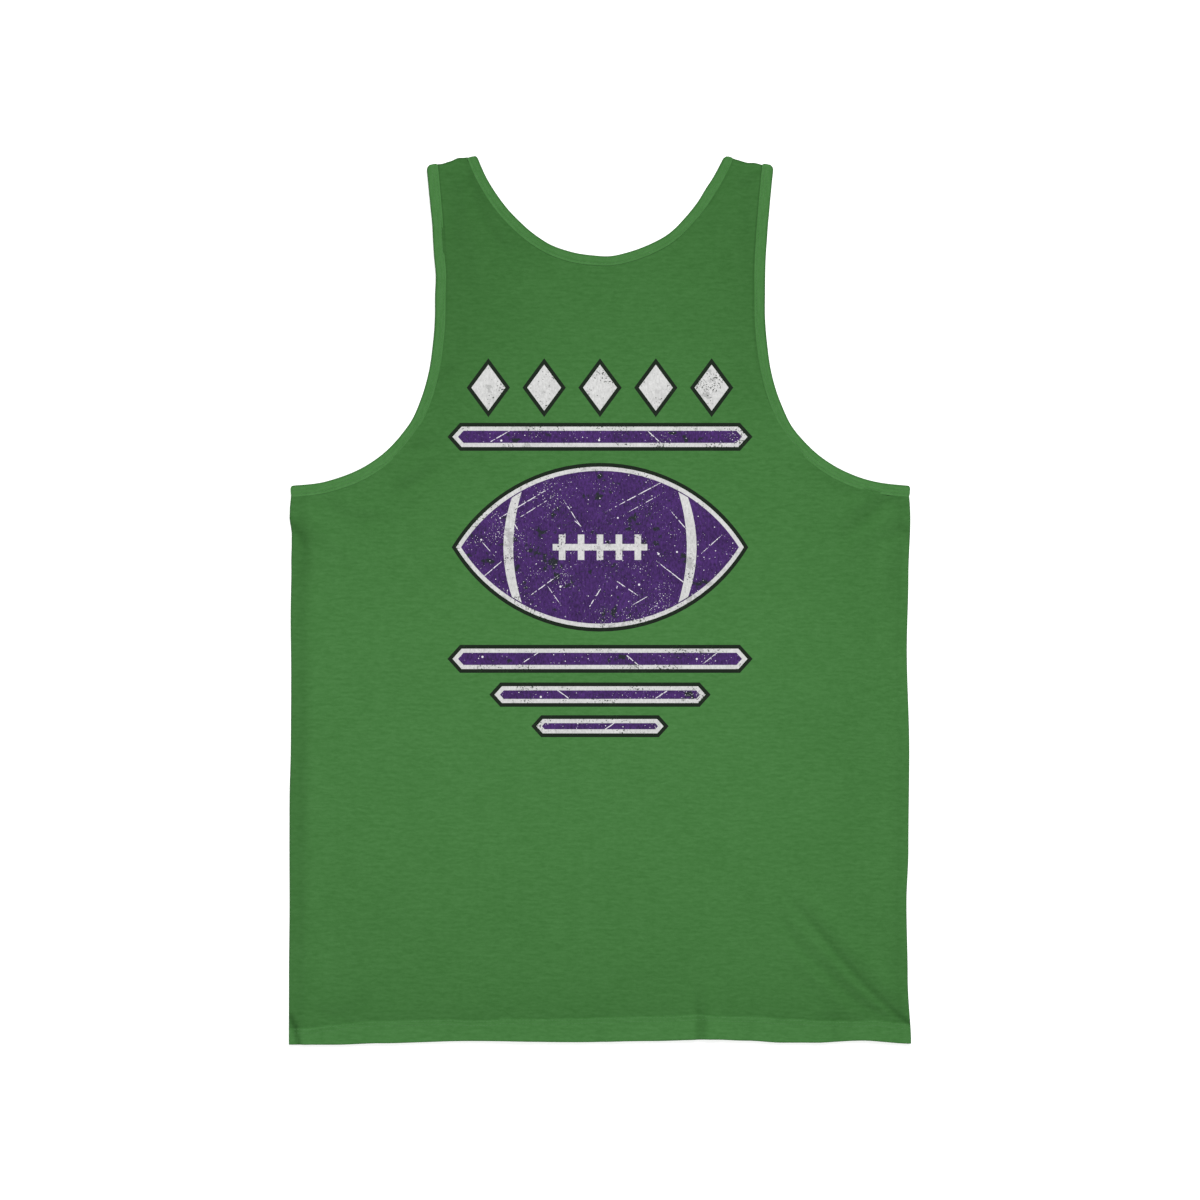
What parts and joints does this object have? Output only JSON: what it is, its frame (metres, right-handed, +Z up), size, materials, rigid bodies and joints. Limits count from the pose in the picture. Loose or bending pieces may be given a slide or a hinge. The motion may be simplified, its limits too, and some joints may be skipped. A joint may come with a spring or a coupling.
{
  "type": "football tank top",
  "caption": "Sleeveless jersey tank top laid flat with its back upwards, with bound neckline and armholes and a turned hem.",
  "frame": {"origin": "middle of the laid-out garment, on the surface that it lies on", "axes": "+X across the back towards the wearer's right, +Y from the hem to the shoulders, +Z up, out of the back of the garment"},
  "size_m": [0.5133, 0.7332, 0.005],
  "materials": {
    "jersey_body": "matt cotton single jersey, mid green with fine horizontal slubs",
    "jersey_binding": "the same jersey folded as a binding, a little lighter",
    "sewing_thread": "green polyester sewing thread",
    "ink_purple": "worn purple screen-print ink",
    "ink_white": "worn off-white screen-print ink",
    "ink_dark": "worn near-black screen-print ink"
  },
  "bodies": {
    "root": {"back_panel": "jersey_body", "front_panel": "jersey_body", "neck_binding": "jersey_binding", "armhole_binding_left": "jersey_binding", "armhole_binding_right": "jersey_binding"}
  },
  "joints": []
}
